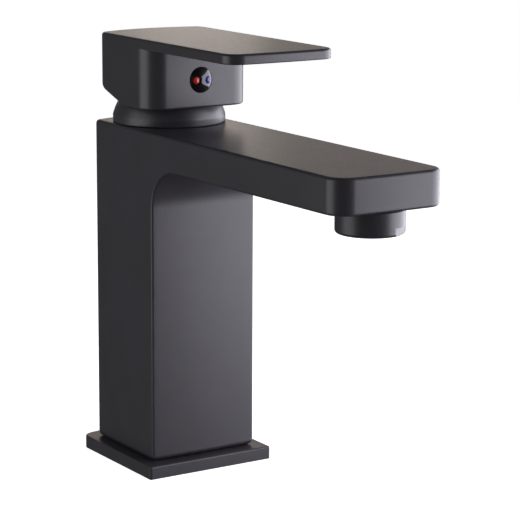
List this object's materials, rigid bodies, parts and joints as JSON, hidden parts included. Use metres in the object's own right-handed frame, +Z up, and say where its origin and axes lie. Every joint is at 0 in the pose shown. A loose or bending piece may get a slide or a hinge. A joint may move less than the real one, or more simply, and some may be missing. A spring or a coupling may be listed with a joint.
{
  "type": "basin mixer tap",
  "caption": "Square-column basin mixer with a flat straight spout, screw-in aerator and a flat lever that swivels for temperature and lifts for flow.",
  "frame": {"origin": "on the deck plane under the column, on the axis of the cartridge that the handle swivels about", "axes": "+Z up, -Y along the spout towards the user, +X to the user's right when the user faces the spout"},
  "size_m": [0.0546, 0.1744, 0.1675],
  "materials": {
    "body_black": "satin matte black coating on a cast brass body",
    "handle_black": "satin matte black coating on a die-cast handle",
    "brass": "machined, uncoated",
    "black_rubber": "matte",
    "acetal": "moulded, off-white",
    "grey_plastic": "moulded, grey",
    "ceramic": "lapped white ceramic",
    "steel": "stainless, plain",
    "screw_black": "blackened",
    "plug_black": "glossy black",
    "mark_red": "glossy red",
    "mark_blue": "glossy blue"
  },
  "bodies": {
    "faucet_body": {"body": "body_black", "base_plate": "body_black", "base_gasket": "black_rubber", "inlet_spigot": "brass", "hot_seal": "black_rubber", "cold_seal": "black_rubber", "outlet_seal": "black_rubber", "cartridge_base": "grey_plastic", "fixed_disc": "ceramic", "cartridge_housing": "grey_plastic", "cartridge_nut": "brass", "dome_o_ring": "black_rubber", "dome_cap": "body_black", "aerator_housing": "body_black", "aerator_insert": "grey_plastic", "aerator_screen": "steel", "aerator_washer": "black_rubber"},
    "swivel": {"rotor": "acetal", "rotor_o_ring": "black_rubber", "stem_pin": "steel"},
    "disc_set": {"moving_disc": "ceramic", "disc_carrier": "acetal"},
    "lever": {"handle": "handle_black", "stem": "brass", "grub_screw": "screw_black", "indicator_plug": "plug_black", "indicator_red": "mark_red", "indicator_blue": "mark_blue"}
  },
  "joints": [
    {"name": "handle_swivel", "type": "hinge", "parent": "faucet_body", "child": "swivel", "pos_m": [0, 0, 0.13], "axis": [0, 0, 1], "range_deg": [-50, 50]},
    {"name": "handle_lift", "type": "hinge", "parent": "swivel", "child": "lever", "pos_m": [0, 0, 0.13], "axis": [-1, 0, 0], "range_deg": [0, 25]},
    {"name": "disc_slide", "type": "slide", "parent": "swivel", "child": "disc_set", "axis": [0, -1, 0], "range_m": [0, 0.00577]}
  ],
  "couplings": [
    {"joint": "disc_slide", "follows": "handle_lift", "m_per_rad": 0.01321}
  ]
}
